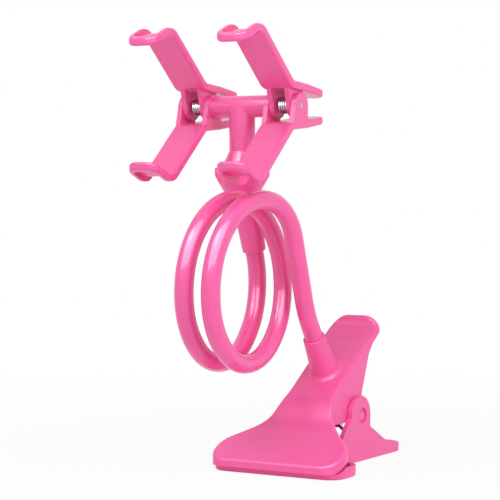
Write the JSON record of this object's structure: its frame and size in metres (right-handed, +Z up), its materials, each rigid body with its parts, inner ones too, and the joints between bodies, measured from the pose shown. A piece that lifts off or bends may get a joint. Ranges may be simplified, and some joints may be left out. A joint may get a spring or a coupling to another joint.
{
  "type": "phone gooseneck holder",
  "caption": "Phone holder on a coiled bendable gooseneck, with a spring clamp for a desk edge, a ball joint with a lobed lock nut, and sprung claws that grip the phone.",
  "frame": {"origin": "on the clamp's underside, straight below the middle of its pivot pin", "axes": "+X to the right along the clamp's front edge, +Y back towards its grips, +Z up"},
  "size_m": [0.1006, 0.1612, 0.2164],
  "materials": {
    "pink_plastic": "glossy moulded pink plastic",
    "pink_vinyl": "glossy pink vinyl sleeve",
    "core_wire": "soft drawn wire",
    "steel": "plated steel",
    "pad_rubber": "matt soft rubber"
  },
  "bodies": {
    "base": {"lower_clamp_arm": "pink_plastic", "clamp_pivot_pin": "steel", "clamp_spring": "steel", "lower_jaw_pad": "pad_rubber"},
    "neck": {"upper_clamp_arm": "pink_plastic", "upper_jaw_pad": "pad_rubber", "socket_screw": "steel", "gooseneck_sleeve": "pink_vinyl", "gooseneck_core": "core_wire", "neck_collar": "pink_plastic"},
    "stud": {"ball_stud": "steel"},
    "nut": {"lock_nut": "pink_plastic"},
    "holder": {"holder_frame": "pink_plastic", "left_hinge_pin": "steel", "right_hinge_pin": "steel", "left_clip_spring": "steel", "right_clip_spring": "steel"},
    "left_jaw": {"left_upper_jaw": "pink_plastic"},
    "right_jaw": {"right_upper_jaw": "pink_plastic"}
  },
  "joints": [
    {"name": "clamp_squeeze", "type": "hinge", "parent": "base", "child": "neck", "pos_m": [0, 0, 0.0233], "axis": [-1, 0, 0], "range_deg": [0, 45], "stiffness_Nm_per_rad": 1.5, "springref_deg": -51.57, "deforming": ["clamp_spring"]},
    {"name": "stud_swivel", "type": "hinge", "parent": "neck", "child": "stud", "pos_m": [-0.0305, -0.0415, 0.1445], "axis": [0, 0.3007, -0.9537], "range_deg": [-60, 60]},
    {"name": "head_tilt", "type": "hinge", "parent": "stud", "child": "nut", "pos_m": [-0.0305, -0.0415, 0.1445], "axis": [1, 0, 0], "range_deg": [-12, 4]},
    {"name": "holder_turn", "type": "hinge", "parent": "nut", "child": "holder", "pos_m": [-0.0305, -0.0415, 0.1445], "axis": [0, 0, 1], "continuous": true},
    {"name": "left_jaw_hinge", "type": "hinge", "parent": "holder", "child": "left_jaw", "pos_m": [-0.0556, -0.0415, 0.1792], "axis": [-1, 0, 0], "range_deg": [-52, 14], "stiffness_Nm_per_rad": 0.12, "springref_deg": -74.48, "deforming": ["left_clip_spring"]},
    {"name": "right_jaw_hinge", "type": "hinge", "parent": "holder", "child": "right_jaw", "pos_m": [-0.0054, -0.0415, 0.1792], "axis": [-1, 0, 0], "range_deg": [-52, 14], "stiffness_Nm_per_rad": 0.12, "springref_deg": -74.48, "deforming": ["right_clip_spring"]}
  ]
}
